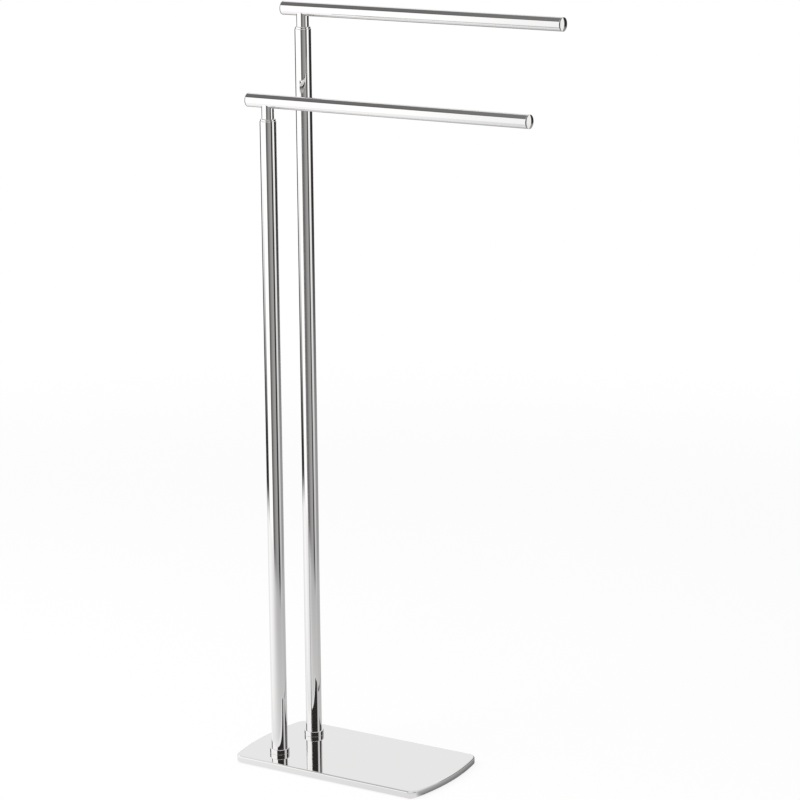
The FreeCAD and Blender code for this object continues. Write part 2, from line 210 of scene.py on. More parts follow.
chromeLook = {
    "color": (0.837, 0.83, 0.829, 1.0),
    "dustColor": (0.72, 0.71, 0.69, 1.0),
    # lineSize stretches the fine lines along X, Y and Z, and lineDepth is in metres; a painted shade
    # sets in between two places along X, and leaves this much of the metal and of its brightness
    "plate": {"roughness": 0.03, "marks": 0.035, "lineSize": (60.0, 900.0, 60.0), "lineDepth": 0.0000015},
    "post": {"roughness": 0.035, "marks": 0.03, "lineSize": (1400.0, 1400.0, 14.0), "lineDepth": 0.0000012},
    "bar": {"roughness": 0.035, "marks": 0.03, "lineSize": (14.0, 1400.0, 1400.0), "lineDepth": 0.0000012,
            "paintedFalloff": {"start": 0.06, "end": 0.30, "metalLeft": 0.925, "tone": 0.885}},
    "turned": {"roughness": 0.05, "marks": 0.03, "lineSize": (30.0, 30.0, 2600.0), "lineDepth": 0.000002},
    "cap": {"roughness": 0.045, "marks": 0.03, "lineSize": (90.0, 90.0, 90.0), "lineDepth": 0.000004,
            "paintedFalloff": {"start": 0.06, "end": 0.30, "tone": 0.88}},
    "markSize": 0.035,
    "dust": 0.2,               # how much rougher dust makes it, and how much of its colour it takes
    "dustTint": 0.5,
    "wear": 0.02,
    "black": (0.0, 0.0, 0.0, 1.0),
}


def chrome(part):
    look = chromeLook[part]
    material, tree, surface, place = startMaterial(part + "Chrome", Metallic=1.0, IOR=2.4)
    marked = addNode(tree, "ShaderNodeGroup", node_tree=smudges, inputs={
        "Vector": place, "Roughness": look["roughness"], "Marks": look["marks"],
        "Mark Size": chromeLook["markSize"], "Dust": chromeLook["dust"]}).outputs
    lines = addNode(tree, "ShaderNodeGroup", node_tree=grainLines,
                    inputs={"Vector": doVector("MULTIPLY", place, look["lineSize"])}).outputs
    rough = doMath("MULTIPLY_ADD", lines["Wear"], chromeLook["wear"], marked["Roughness"])
    setInput(surface["Roughness"], rough)
    tint = times(marked["Dust"], chromeLook["dustTint"])
    color = mixColor(tint, chromeLook["color"], chromeLook["dustColor"])
    if "paintedFalloff" in look:
        # painted shade: darker and less shiny towards an arm's free end, where the light falls off
        paintedFalloff = look["paintedFalloff"]
        along = axesOf(place)["X"]
        tone = mapRange(along, paintedFalloff["start"], paintedFalloff["end"], 1.0, paintedFalloff["tone"])
        color = mixColor(tone, chromeLook["black"], color)
        if "metalLeft" in paintedFalloff:
            setInput(surface["Metallic"], mapRange(along, paintedFalloff["start"], paintedFalloff["end"], 1.0, paintedFalloff["metalLeft"]))
    setInput(surface["Base Color"], color)
    bumpFrom(surface, lines["Height"], look["lineDepth"])
    return material


# what is not polished: noise and cells by their scale, two colours and two roughnesses that the noise
# goes between, and the depth of its bumps in metres
plainLook = {
    "zincSteel": {"metallic": 1.0, "noise": 160.0, "detail": 4.0, "crystals": 700.0, "crystalShare": 0.35,
                  "colors": ((0.62, 0.63, 0.64, 1.0), (0.44, 0.46, 0.49, 1.0)), "roughness": (0.28, 0.5),
                  "depth": 0.00002},
    "sleevePlastic": {"ior": 1.48, "noise": 500.0, "detail": 3.0,
                      "colors": ((0.86, 0.86, 0.83, 1.0), (0.80, 0.80, 0.76, 1.0)), "roughness": (0.42, 0.55),
                      "depth": 0.00002},
    "plugAndSeamShadePlastic": {"noise": 900.0, "detail": 3.0,
                    "colors": ((0.016, 0.016, 0.017, 1.0), (0.03, 0.03, 0.03, 1.0)), "roughness": (0.5, 0.68),
                    "depth": 0.00002},
    "matRubber": {"noise": 90.0, "detail": 5.0, "pores": 1800.0,
                  "colors": ((0.03, 0.03, 0.033, 1.0), (0.075, 0.073, 0.07, 1.0)), "roughness": (0.7, 0.92),
                  "depth": 0.00012},
}
noiseSpan = (0.3, 0.7)    # between these values of the noise the roughness changes


def plainFinish(name):
    look = plainLook[name]
    material, tree, surface, place = startMaterial(
        name, Metallic=look.get("metallic", 0.0), IOR=look.get("ior", 1.5))
    noise = nodeOut(tree, "ShaderNodeTexNoise",
                    {"Vector": place, "Scale": look["noise"], "Detail": look["detail"]})
    shade = height = noise
    if "crystals" in look:
        crystals = addNode(tree, "ShaderNodeTexVoronoi", {"Vector": place, "Scale": look["crystals"]})
        shade = mapRange(crystals.outputs["Color"], 0.0, 1.0, 0.0, look["crystalShare"])
    if "pores" in look:
        height = nodeOut(tree, "ShaderNodeTexVoronoi", {"Vector": place, "Scale": look["pores"]})
    setInput(surface["Base Color"], mixColor(shade, *look["colors"]))
    setInput(surface["Roughness"], mapRange(noise, *noiseSpan, *look["roughness"]))
    bumpFrom(surface, height, look["depth"])
    return material


finishes = {
    "plate_chrome": chrome("plate"),
    "tube_chrome": chrome("post"),
    "turned_chrome": chrome("turned"),
    "cap_chrome": chrome("cap"),
    "zinc_steel": plainFinish("zincSteel"),
    "sleeve_plastic": plainFinish("sleevePlastic"),
    "mat_rubber": plainFinish("matRubber"),
}
barChrome = chrome("bar")
# near-black plastic of the cap plugs, which also stands in for painted shade in the seams
plugAndSeamShade = plainFinish("plugAndSeamShadePlastic")

for piece in nodes.values():
    holder = piece.material_slots[0]
    holder.material = finishes[holder.material.name]
print("finishes:", len(bpy.data.materials), "materials")


# turned pieces: one profile, swept round an axis

mm = 0.001
fullTurn = 2 * math.pi
mergeDistance = 0.001 * mm
coreBelow = 0.02 * mm    # faces below this height and this near to the step take the core's material
coreBeside = 0.01 * mm
crownAbove = 0.3         # share of the length above which a crown lifts the profile
sharpAngle = 35.0        # degrees; an edge that bends more than this stays sharp


def switchByIndex(tree, index, values, carried="FLOAT"):
    node = addNode(tree, "GeometryNodeIndexSwitch", data_type=carried)
    for extra in range(len(values) - 2):
        node.index_switch_items.new()
    for number, value in enumerate((index, *values)):
        setInput(node.inputs[number], value)
    return node.outputs[0]


def corner(tree, across, up):
    return nodeOut(tree, "ShaderNodeCombineXYZ", {"X": across, "Y": up})


def wholeNumber(value):
    return nodeOut(value.id_data, "FunctionNodeFloatToInt", {0: value}, rounding_mode="ROUND")


def isAbove(value, limit):
    return nodeOut(value.id_data, "FunctionNodeCompare", {0: value, 1: limit}, data_type="FLOAT",
                   operation="GREATER_THAN")


def pointsOf(curve):
    return addNode(curve.id_data, "GeometryNodeAttributeDomainSize", {0: curve},
                   component="CURVE").outputs["Point Count"]


def positionIn(tree):
    return nodeOut(tree, "GeometryNodeInputPosition")


def sweptGrid(tree, segments, rows):
    # a grid with one column for each step round the axis and one row for each point of a profile;
    # gives its mesh, the angle of a column and the number of a row
    mesh = nodeOut(tree, "GeometryNodeMeshGrid",
                   {"Size X": 1.0, "Size Y": 1.0, "Vertices X": plus(segments, 1.0), "Vertices Y": rows})
    spot = axesOf(positionIn(tree))
    angle = times(plus(spot["X"], 0.5), fullTurn)
    return mesh, angle, doMath("ROUND", times(plus(spot["Y"], 0.5), minus(rows, 1.0)))


def rolled(angle, radius, height):
    return nodeOut(angle.id_data, "ShaderNodeCombineXYZ", {
        "X": times(radius, doMath("COSINE", angle)), "Y": times(radius, doMath("SINE", angle)), "Z": height})


def closeSweep(tree, mesh, place):
    # puts the grid in place and joins its seam and poles
    mesh = nodeOut(tree, "GeometryNodeSetPosition", {"Geometry": mesh, "Position": place})
    mesh = nodeOut(tree, "GeometryNodeMergeByDistance", {"Geometry": mesh, "Distance": mergeDistance})
    return nodeOut(tree, "GeometryNodeFlipFaces", {"Mesh": mesh})


def smoothOver(tree, mesh):
    # smooth shading in which only true corners stay sharp
    mesh = nodeOut(tree, "GeometryNodeSetShadeSmooth", {"Geometry": mesh}, domain="FACE")
    bend = addNode(tree, "GeometryNodeInputMeshEdgeAngle").outputs["Unsigned Angle"]
    return nodeOut(tree, "GeometryNodeSetShadeSmooth",
                   {"Geometry": mesh, "Selection": isAbove(bend, math.radians(sharpAngle)),
                    "Shade Smooth": False}, domain="EDGE")


def realized(tree, mesh, material):
    mesh = nodeOut(tree, "GeometryNodeRealizeInstances", {"Geometry": mesh})
    return nodeOut(tree, "GeometryNodeSetMaterial", {"Geometry": mesh, "Material": material})


def buildTurnedPiece():
    # outside diameter with a round at each end, a smaller step below it, a bore and a crowned top
    tree, given, result = newGroup("turnedPiece", {
        "Outer Radius": 0.01, "Length": 0.01, "Step Radius": 0.008, "Step Length": 0.0, "Bore Radius": 0.0,
        "Top Round": 0.0003, "Bottom Round": 0.0003, "Crown": 0.0, "Crown Steps": 16,
        "Round Steps": 5, "Segments": 96, "Place": (0.0, 0.0, 0.0), "Turn": (0.0, 0.0, 0.0),
        "Material": "Material", "Core Material": "Material"}, {"Geometry": "Geometry"}, "GeometryNodeTree")
    outer, length, step, bore = (given[name] for name in
                                 ("Outer Radius", "Length", "Step Radius", "Bore Radius"))
    foot = times(given["Step Length"], -1.0)
    index = nodeOut(tree, "GeometryNodeInputIndex")
    corners = ((bore, length), (outer, length), (outer, 0.0), (step, 0.0), (step, foot), (bore, foot))
    outline = nodeOut(tree, "GeometryNodeMeshToCurve",
                      {"Mesh": nodeOut(tree, "GeometryNodeMeshLine", {"Count": len(corners)})})
    corners = switchByIndex(tree, index, [corner(tree, across, up) for across, up in corners], "VECTOR")
    outline = nodeOut(tree, "GeometryNodeSetPosition", {"Geometry": outline, "Position": corners})
    rounds = switchByIndex(tree, index, [0.0, given["Top Round"], given["Bottom Round"], 0.0, 0.0, 0.0])
    outline = nodeOut(tree, "GeometryNodeFilletCurve", {"Curve": outline, "Count": given["Round Steps"],
                                                        "Radius": rounds, "Limit Radius": True}, mode="POLY")

    # the crown: only the flat top is cut finer and raised, and only where a crown is asked for
    isFirst = nodeOut(tree, "FunctionNodeCompare", {2: index, 3: 0}, data_type="INT", operation="EQUAL")
    cuts = times(times(isFirst, isAbove(given["Crown"], 0.0)), given["Crown Steps"])
    outline = nodeOut(tree, "GeometryNodeSubdivideCurve", {"Curve": outline, "Cuts": wholeNumber(cuts)})
    spot = axesOf(positionIn(tree))
    share = over(spot["X"], outer)
    rise = times(given["Crown"], minus(1.0, times(share, share)))
    outline = nodeOut(tree, "GeometryNodeSetPosition",
                      {"Geometry": outline, "Selection": isAbove(spot["Y"], times(length, crownAbove)),
                       "Offset": corner(tree, 0.0, rise)})

    # a hollow profile is closed by its first point, once more, at the end
    points = pointsOf(outline)
    mesh, angle, row = sweptGrid(tree, given["Segments"], plus(points, isAbove(bore, 0.0)))
    profile = axesOf(nodeOut(tree, "GeometryNodeSampleIndex",
                             {0: outline, 1: positionIn(tree), 2: wholeNumber(doMath("MODULO", row, points))},
                             data_type="FLOAT_VECTOR", domain="POINT"))
    mesh = smoothOver(tree, closeSweep(tree, mesh, rolled(angle, profile["X"], profile["Y"])))

    # the core is what is below the seat and within the step, such as a cap's plug
    capture = addNode(tree, "GeometryNodeCaptureAttribute", {0: mesh}, domain="FACE")
    capture.capture_items.new("BOOLEAN", "core")
    centre = axesOf(positionIn(tree))
    reach = doMath("SQRT", plus(doMath("POWER", centre["X"], 2.0), doMath("POWER", centre["Y"], 2.0)))
    low = doMath("LESS_THAN", centre["Z"], coreBelow)
    setInput(capture.inputs[1], times(low, doMath("LESS_THAN", reach, plus(step, coreBeside))))
    turn = nodeOut(tree, "FunctionNodeEulerToRotation", {0: given["Turn"]})
    mesh = nodeOut(tree, "GeometryNodeTransform",
                   {"Geometry": capture.outputs[0], "Translation": given["Place"], "Rotation": turn})
    mesh = realized(tree, mesh, given["Material"])
    mesh = nodeOut(tree, "GeometryNodeSetMaterial", {"Geometry": mesh, "Selection": capture.outputs[1],
                                                     "Material": given["Core Material"]})
    setInput(result[0], mesh)
    return tree


def runTree(name, tree, values):
    # the tree's result as a plain mesh object; lengths in values are in metres
    maker = bpy.data.objects.new(name, bpy.data.meshes.new(name + "Start"))
    scene.collection.objects.link(maker)
    shape = maker.modifiers.new("shape", "NODES")
    shape.node_group = tree
    for item in tree.interface.items_tree:
        if item.in_out == "INPUT" and item.name in values:
            shape[item.identifier] = values[item.name]
    maker.modifiers.new("evenNormals", "WEIGHTED_NORMAL").keep_sharp = True
    mesh = bpy.data.meshes.new_from_object(maker.evaluated_get(bpy.context.evaluated_depsgraph_get()))
    maker.modifiers.clear()
    maker.data = mesh
    mesh.name = name
    return maker


def fitPiece(piece, body, slotName, *replaced):
    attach(piece, body)
    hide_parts(*replaced)


turnedPiece = buildTurnedPiece()

# millimetres, by the names of the tree's inputs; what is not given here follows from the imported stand
postLook = {"Wall": 1.2, "Top Round": 0.4, "Bottom Round": 0.2}
collarLook = {"Bore Radius": 11.05, "Top Round": 0.7, "Bottom Round": 0.3}
# the bush's length is its lip's, and its body goes on below that
bushLook = {"Bore Radius": 6.13, "Length": 2.6, "Outer Radius": 10.3, "Step Radius": 9.75, "Top Round": 0.45,
            "Bottom Round": 0.3}
# a bar is set back at its far end, and a cap stands off its bar by a seam in which its near-black plug shows;
# the plug is real and also stands in for painted shade in the seam
barLook = {"Wall": 1.0, "Top Round": 0.35, "Bottom Round": 0.35, "Set Back": 0.5}
capLook = {"Length": 0.25, "Step Radius": 7.95, "Top Round": 0.2, "Bottom Round": 0.05, "Plug": 10.0,
           "nearSeam": 0.45, "farSeam": 0.8}


def inMetres(look):
    return {name: size * mm for name, size in look.items()}


def turnPiece(name, look, values):
    values = {**values, **inMetres(look)}
    if "Wall" in values:
        values["Bore Radius"] = values["Outer Radius"] - values["Wall"]
    if "Step Radius" not in values:
        values["Step Radius"] = (values["Outer Radius"] + values["Bore Radius"]) / 2
    return runTree(name, turnedPiece, values)


def upright(name, node, slotName, look):
    # a turned piece on the node's own upright axis, in its packed height and diameter
    low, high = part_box(node)
    height, finish = high[2] - low[2], finishes[slotName]
    length = look["Length"] * mm if "Length" in look else height
    piece = turnPiece(name, look, {
        "Outer Radius": (high[0] - low[0]) / 2, "Length": length, "Step Length": height - length,
        "Place": ((low[0] + high[0]) / 2, (low[1] + high[1]) / 2, high[2] - length),
        "Material": finish, "Core Material": finish})
    fitPiece(piece, "stand", slotName, node)


for side in ("front", "rear"):
    upright(f"{side}PostTube", f"{side}_post", "tube_chrome", postLook)
    upright(f"{side}Collar", f"{side}_collar", "turned_chrome", collarLook)
    upright(f"{side}TopBush", f"{side}_top_bush", "turned_chrome", bushLook)
    low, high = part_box(f"{side}_bar")
    axis = ((low[1] + high[1]) / 2, (low[2] + high[2]) / 2)
    bar = turnPiece(f"{side}BarTube", barLook, {
        "Outer Radius": (high[2] - low[2]) / 2, "Length": high[0] - low[0] - barLook["Set Back"] * mm,
        "Place": (low[0], *axis), "Turn": (0.0, math.pi / 2, 0.0), "Material": barChrome,
        "Core Material": barChrome})
    fitPiece(bar, f"{side}_arm", "tube_chrome", f"{side}_bar")
    for end, seat, turned in (("near", low[0], -1.0), ("far", high[0], 1.0)):
        capLow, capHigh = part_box(f"{side}_{end}_cap")
        seam, rim, plug = (capLook[name] * mm for name in (f"{end}Seam", "Length", "Plug"))
        cap = turnPiece(f"{side}{end.capitalize()}Cap", capLook, {
            "Outer Radius": (capHigh[2] - capLow[2]) / 2, "Step Length": plug + seam,
            "Crown": capHigh[0] - capLow[0] - plug - seam - rim, "Place": (seat + turned * seam, *axis),
            "Turn": (0.0, turned * math.pi / 2, 0.0), "Material": finishes["cap_chrome"],
            "Core Material": plugAndSeamShade})
        fitPiece(cap, f"{side}_arm", "cap_chrome", f"{side}_{end}_cap")
print("turned pieces: posts, collars, bushes, bars and caps")


# base plate: one outline, swept through a rounded edge

cornerRoom = 0.93        # how far along its end the last bowed point is, which leaves room for the corner
drillSides = 64


def buildBasePlate():
    # straight long sides, bowed ends, rounded corners, a soft top edge and two counterbored holes
    tree, given, result = newGroup("basePlate", {
        "Length": 0.3, "Depth": 0.17, "Thickness": 0.01, "Bow": 0.01, "Corner Radius": 0.014,
        "Top Round": 0.001, "Under Chamfer": 0.0005, "End Points": 24, "Corner Steps": 12, "Round Steps": 10,
        "First Hole": (0.0, 0.0, 0.0), "Hole Step": (0.0, 0.05, 0.0), "Hole Radius": 0.004,
        "Counterbore Radius": 0.006, "Counterbore Depth": 0.005, "Height": 0.0,
        "Material": "Material"}, {"Geometry": "Geometry"}, "GeometryNodeTree")
    depth, halfLength = (times(given[name], 0.5) for name in ("Depth", "Length"))
    bow, thick, ends = given["Bow"], given["Thickness"], given["End Points"]
    bowRadius = over(doMath("MULTIPLY_ADD", depth, depth, times(bow, bow)), times(bow, 2.0))

    # the outline: the points of the right end, then those of the left end, with the corners rounded
    index = nodeOut(tree, "GeometryNodeInputIndex")
    late = doMath("GREATER_THAN", index, minus(ends, 0.5))
    side = doMath("MULTIPLY_ADD", late, -2.0, 1.0)
    step = minus(index, times(late, ends))
    share = doMath("MULTIPLY_ADD", over(step, minus(ends, 1.0)), 2.0, -1.0)
    isCorner = doMath("GREATER_THAN", doMath("ABSOLUTE", share), 0.99)    # the first and last point of an end
    share = times(share, mapRange(isCorner, 0.0, 1.0, cornerRoom, 1.0, smooth=False))
    across = times(times(share, depth), side)
    reach = doMath("SQRT", minus(times(bowRadius, bowRadius), times(across, across)))
    reach = plus(reach, minus(halfLength, bowRadius))
    line = nodeOut(tree, "GeometryNodeMeshLine", {"Count": times(ends, 2.0)})
    line = nodeOut(tree, "GeometryNodeSetPosition",
                   {"Geometry": line, "Position": corner(tree, times(reach, side), across)})
    outline = nodeOut(tree, "GeometryNodeMeshToCurve", {"Mesh": line})
    outline = nodeOut(tree, "GeometryNodeSetSplineCyclic", {"Geometry": outline, "Cyclic": True})
    outline = nodeOut(tree, "GeometryNodeFilletCurve",
                      {"Curve": outline, "Count": given["Corner Steps"],
                       "Radius": times(isCorner, given["Corner Radius"]), "Limit Radius": True}, mode="POLY")
    points = pointsOf(outline)

    # the sweep: the middle of the top, the rounded edge, the side, the chamfer and the middle below
    steps, edge = given["Round Steps"], given["Top Round"]
    mesh, angle, row = sweptGrid(tree, points, plus(steps, 5.0))
    column = doMath("MODULO", doMath("ROUND", times(over(angle, fullTurn), points)), points)

    def sampled(field):
        return nodeOut(tree, "GeometryNodeSampleIndex", {0: outline, 1: field, 2: wholeNumber(column)},
                       data_type="FLOAT_VECTOR", domain="POINT")

    base = sampled(positionIn(tree))
    outward = doVector("CROSS_PRODUCT", sampled(nodeOut(tree, "GeometryNodeInputTangent")), (0.0, 0.0, 1.0))
    turn = times(over(minus(row, 1.0), steps), math.pi / 2)
    turn = doMath("MINIMUM", doMath("MAXIMUM", turn, 0.0), math.pi / 2)
    inset, drop = (times(edge, minus(1.0, doMath(wave, turn))) for wave in ("SINE", "COSINE"))

    def fromRow(extra):
        return doMath("GREATER_THAN", row, plus(steps, extra - 0.5))

    height = times(minus(thick, drop), minus(1.0, fromRow(2)))
    height = doMath("MULTIPLY_ADD", minus(fromRow(2), fromRow(3)), given["Under Chamfer"], height)
    inset = doMath("MULTIPLY_ADD", fromRow(3), given["Under Chamfer"], inset)
    keep = minus(1.0, plus(doMath("LESS_THAN", row, 0.5), fromRow(4)))
    place = doVector("ADD", base, doVector("SCALE", outward, times(inset, -1.0)))
    lift = nodeOut(tree, "ShaderNodeCombineXYZ", {"Z": height})
    place = doVector("ADD", doVector("SCALE", place, keep), lift)
    mesh = closeSweep(tree, mesh, place)

    drills = addNode(tree, "GeometryNodeJoinGeometry")
    for radius, length in ((given["Hole Radius"], times(thick, 4.0)),
                           (given["Counterbore Radius"], times(given["Counterbore Depth"], 2.0))):
        tree.links.new(nodeOut(tree, "GeometryNodeMeshCylinder",
                               {"Vertices": drillSides, "Radius": radius, "Depth": length}), drills.inputs[0])
    holes = nodeOut(tree, "GeometryNodeMeshLine",
                    {"Count": 2, "Start Location": given["First Hole"], "Offset": given["Hole Step"]})
    holes = nodeOut(tree, "GeometryNodeInstanceOnPoints", {"Points": holes, "Instance": drills.outputs[0]})
    holes = nodeOut(tree, "GeometryNodeRealizeInstances", {"Geometry": holes})
    mesh = nodeOut(tree, "GeometryNodeMeshBoolean",
                   {"Mesh 1": mesh, "Mesh 2": holes, "Self Intersection": True},
                   operation="DIFFERENCE", solver="EXACT")
    lift = nodeOut(tree, "ShaderNodeCombineXYZ", {"Z": given["Height"]})
    mesh = nodeOut(tree, "GeometryNodeTransform", {"Geometry": smoothOver(tree, mesh), "Translation": lift})
    setInput(result[0], realized(tree, mesh, given["Material"]))
    return tree


# millimetres, by the names of the tree's inputs
plateLook = {"Bow": 10.5, "Corner Radius": 14.0, "Top Round": 2.4, "Under Chamfer": 0.6, "Hole Radius": 4.4,
             "Counterbore Radius": 6.9, "Counterbore Depth": 6.2}


def footOf(node):
    # where the middle of an upright piece meets the floor
    low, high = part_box(node)
    return Vector(((low[0] + high[0]) / 2, (low[1] + high[1]) / 2, 0.0))


low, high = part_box("base_plate")
firstHole, lastHole = footOf("front_post"), footOf("rear_post")
basePlate = runTree("basePlate", buildBasePlate(), {
    "Length": high[0] - low[0], "Depth": high[1] - low[1], "Thickness": high[2] - low[2], "Height": low[2],
    "First Hole": firstHole, "Hole Step": lastHole - firstHole, "Material": finishes["plate_chrome"],
    **inMetres(plateLook)})
fitPiece(basePlate, "stand", "plate_chrome", "base_plate")
print("base plate:", len(basePlate.data.polygons), "faces")


# socket screws and studs, threaded, set out along a line

threadFlank = (0.15, 0.85)    # along half a pitch, where the side of the groove starts and ends


def buildSocketScrew():
    # a head with a hexagon socket below its seat at height 0, and a threaded shank above it
    tree, given, result = newGroup("socketScrew", {
        "Head Radius": 0.006, "Head Height": 0.005, "Head Edge": 0.0006, "Socket Width": 0.005,
        "Socket Depth": 0.003, "Shank Radius": 0.004, "Shank Length": 0.02, "Plain Length": 0.001,
        "Pitch": 0.00125, "Thread Depth": 0.0006, "Tip Edge": 0.0006, "Rows per Turn": 6, "Segments": 36,
        "First": (0.0, 0.0, 0.0), "Step": (0.0, 0.05, 0.0), "Count": 1,
        "Material": "Material"}, {"Geometry": "Geometry"}, "GeometryNodeTree")
    length, pitch, tip = given["Shank Length"], given["Pitch"], given["Tip Edge"]
    threaded = minus(length, tip)
    threadRows = doMath("CEIL", times(over(threaded, pitch), given["Rows per Turn"]))
    headRows = 6.0    # points of the profile before the shank, and three come after it
    mesh, angle, row = sweptGrid(tree, given["Segments"], plus(threadRows, headRows + 3.0))
    angle = times(angle, -1.0)    # the profile climbs, so it goes round the other way

    # the shank: a groove that climbs one pitch a turn and runs out at both ends
    share = doMath("MINIMUM", doMath("MAXIMUM", over(minus(row, headRows), threadRows), 0.0), 1.0)
    up = times(share, threaded)
    phase = minus(over(up, pitch), over(angle, fullTurn))
    wave = doMath("ABSOLUTE", doMath("MULTIPLY_ADD", doMath("FRACT", phase), 2.0, -1.0))
    runIn = mapRange(up, given["Plain Length"], plus(given["Plain Length"], pitch))
    runOut = mapRange(up, minus(threaded, pitch), threaded, 1.0, 0.0)
    groove = times(mapRange(wave, *threadFlank, smooth=False), times(runIn, runOut))
    shank = doMath("MULTIPLY_ADD", groove, times(given["Thread Depth"], -1.0), given["Shank Radius"])

    # the head and its hexagon socket, whose flats repeat every sixth of a turn
    sixth = doMath("WRAP", angle, math.pi / 6, -math.pi / 6)
    socket = over(times(given["Socket Width"], 0.5), doMath("COSINE", sixth))
    head, edge = given["Head Radius"], given["Head Edge"]
    base = times(given["Head Height"], -1.0)
    floor = plus(base, given["Socket Depth"])
    profile = ((0.0, floor), (socket, floor), (socket, base), (minus(head, edge), base),
               (head, plus(base, edge)), (head, 0.0), (shank, up),
               (minus(given["Shank Radius"], tip), length), (0.0, length))
    past = doMath("MAXIMUM", minus(row, plus(threadRows, headRows)), 0.0)
    kind = wholeNumber(plus(doMath("MINIMUM", row, headRows), past))
    radius, height = (switchByIndex(tree, kind, values) for values in zip(*profile))
    mesh = smoothOver(tree, closeSweep(tree, mesh, rolled(angle, radius, height)))
    spots = nodeOut(tree, "GeometryNodeMeshLine",
                    {"Count": given["Count"], "Start Location": given["First"], "Offset": given["Step"]})
    mesh = nodeOut(tree, "GeometryNodeInstanceOnPoints", {"Points": spots, "Instance": mesh})
    setInput(result[0], realized(tree, mesh, given["Material"]))
    return tree


socketScrew = buildSocketScrew()

# millimetres, by the names of the tree's inputs; a stud is a screw whose head is no wider than its thread
screwLook = {
    "base": {"Head Height": 5.0, "Socket Width": 5.0, "Socket Depth": 3.0, "Shank Radius": 4.0, "Pitch": 1.25},
    "retaining": {"Head Height": 5.0, "Socket Width": 4.0, "Socket Depth": 2.5, "Shank Radius": 2.5,
                  "Pitch": 0.8},
    "stud": {"Head Height": 0.5, "Socket Width": 3.0, "Socket Depth": 2.2, "Shank Radius": 3.0, "Pitch": 1.0},
}
threadShares = {"Plain Length": 1.0, "Thread Depth": 0.54, "Tip Edge": 0.6}    # of the pitch
headEdgeShare = 0.1                                                            # of the head's height


def threadedPiece(name, node, body, look, step=(0.0, 0.0, 0.0), count=1):
    low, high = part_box(node)
    radius, seat = (high[0] - low[0]) / 2, low[2] + look["Head Height"] * mm
    screw = runTree(name, socketScrew, {
        "Head Radius": radius, "Head Edge": look["Head Height"] * headEdgeShare * mm,
        "Shank Length": high[2] - seat,
        "First": (low[0] + radius, low[1] + radius, seat), "Step": step, "Count": count,
        "Material": finishes["zinc_steel"], **inMetres(look),
        **{size: look["Pitch"] * share * mm for size, share in threadShares.items()}})
    fitPiece(screw, body, "zinc_steel", node)


threadedPiece("baseScrews", "base_screws", "stand", screwLook["base"], lastHole - firstHole, 2)
for side in ("front", "rear"):
    threadedPiece(f"{side}RetainingScrew", f"{side}_retaining_screw", f"{side}_arm", screwLook["retaining"])
    threadedPiece(f"{side}NeckStud", f"{side}_neck_stud", f"{side}_arm", screwLook["stud"])
print("threaded pieces: base screws, retaining screws and neck studs")


# camera

cameraView = {
    "azimuth": 32.07,          # degrees; 0 looks along +Y, 90 along -X
    "elevation": 13.415,
    "roll": -0.53,
    "distance": 4.086,
    "target": (0.0776, 0.0, 0.5238),
    "lens": 138.4,             # millimetres, as the sensor
    "sensor": 36.0,
    "farthest": 60.0,
}


def directionTo(spot):
    turned, raised = math.radians(spot["azimuth"]), math.radians(spot["elevation"])
    return Vector((math.sin(turned) * math.cos(raised), -math.cos(turned) * math.cos(raised),
                   math.sin(raised)))


def makeCamera():
    back = directionTo(cameraView)
    turned = math.radians(cameraView["azimuth"])
    level = Vector((math.cos(turned), math.sin(turned), 0.0))
    across = Matrix.Rotation(math.radians(cameraView["roll"]), 3, back) @ level
    axes = Matrix((across, back.cross(across), back)).transposed()
    camera = bpy.data.objects.new("camera", bpy.data.cameras.new("camera"))
    scene.collection.objects.link(camera)
    place = Vector(cameraView["target"]) + back * cameraView["distance"]
    camera.matrix_world = Matrix.Translation(place) @ axes.to_4x4()
    camera.data.sensor_width = cameraView["sensor"]
    camera.data.lens = cameraView["lens"]
    camera.data.clip_end = cameraView["farthest"]
    scene.camera = camera


makeCamera()


# studio that the chrome reflects

studio = {
    "facing": 32.0,            # azimuth of the camera side, from which the panels' bearings count
    "white": 1.0,              # what the camera sees round the stand
    "daylight": 0.55,          # even light on dull surfaces
    "behind": 0.93,            # what the chrome sees where no panel is
    "warmth": 0.0022,          # how much redder and less blue the chrome sees each panel
    # bearing of the middle and half its width, lowest (-90 if not given) and highest elevation, the light
    # level, or that at the left and right edge, and the softness of the border; angles in degrees.
    # A panel with a turn is seen only in the first mirror image, or only in later ones
    "panels": {
        "roomInFront": dict(middle=5, half=60, high=90, level=0.03, soft=3),
        "floorInFront": dict(middle=-9, half=23, high=1, left=0.045, right=0.40, soft=2),
        "floorFrontRight": dict(middle=27, half=13, high=1, left=0.40, right=0.38, soft=1.5),
        "lampAboveFront": dict(middle=0, half=50, low=40, high=85, level=1.4, soft=4),
        "screenRightBack": dict(middle=127, half=38, high=24, left=0.04, right=0.02, soft=2.5),
        "floorRightBack": dict(middle=127, half=40, high=-12.5, level=0.36, soft=3),
        "screenLeftBack": dict(middle=-147, half=26, high=4, level=0.03, soft=2),
        "screenLeftBackHigh": dict(middle=-149, half=23, low=15, high=24, level=0.02, soft=2, turn="later"),
        "screenBehind": dict(middle=180, half=15, high=6, level=0.12, soft=3),
        "topLightBehind": dict(middle=143, half=20, low=20, high=42, level=1.0, soft=3),
        "softboxLeft": dict(middle=-78, half=47, high=40, left=1.2, right=1.24, soft=2),
        "gapUnderSoftbox": dict(middle=-112, half=26, high=-11.5, level=0.03, soft=3),
        "ceiling": dict(middle=-118, half=57, low=39, high=91, level=0.10, soft=2),
        "ceilingGlow": dict(middle=-110, half=60, low=47, high=62, level=0.17, soft=4),
        # these two light the plate for who looks from the back or the left; what it mirrors of the posts
        # keeps the dark room
        "frontFirst": dict(middle=8, half=52, low=17.5, high=42, left=0.80, right=0.86, soft=2.5,
                           turn="first"),
        "rightBackFirst": dict(middle=120, half=47, low=18, high=32, left=0.86, right=0.82, soft=2.5,
                               turn="first"),
    },
}


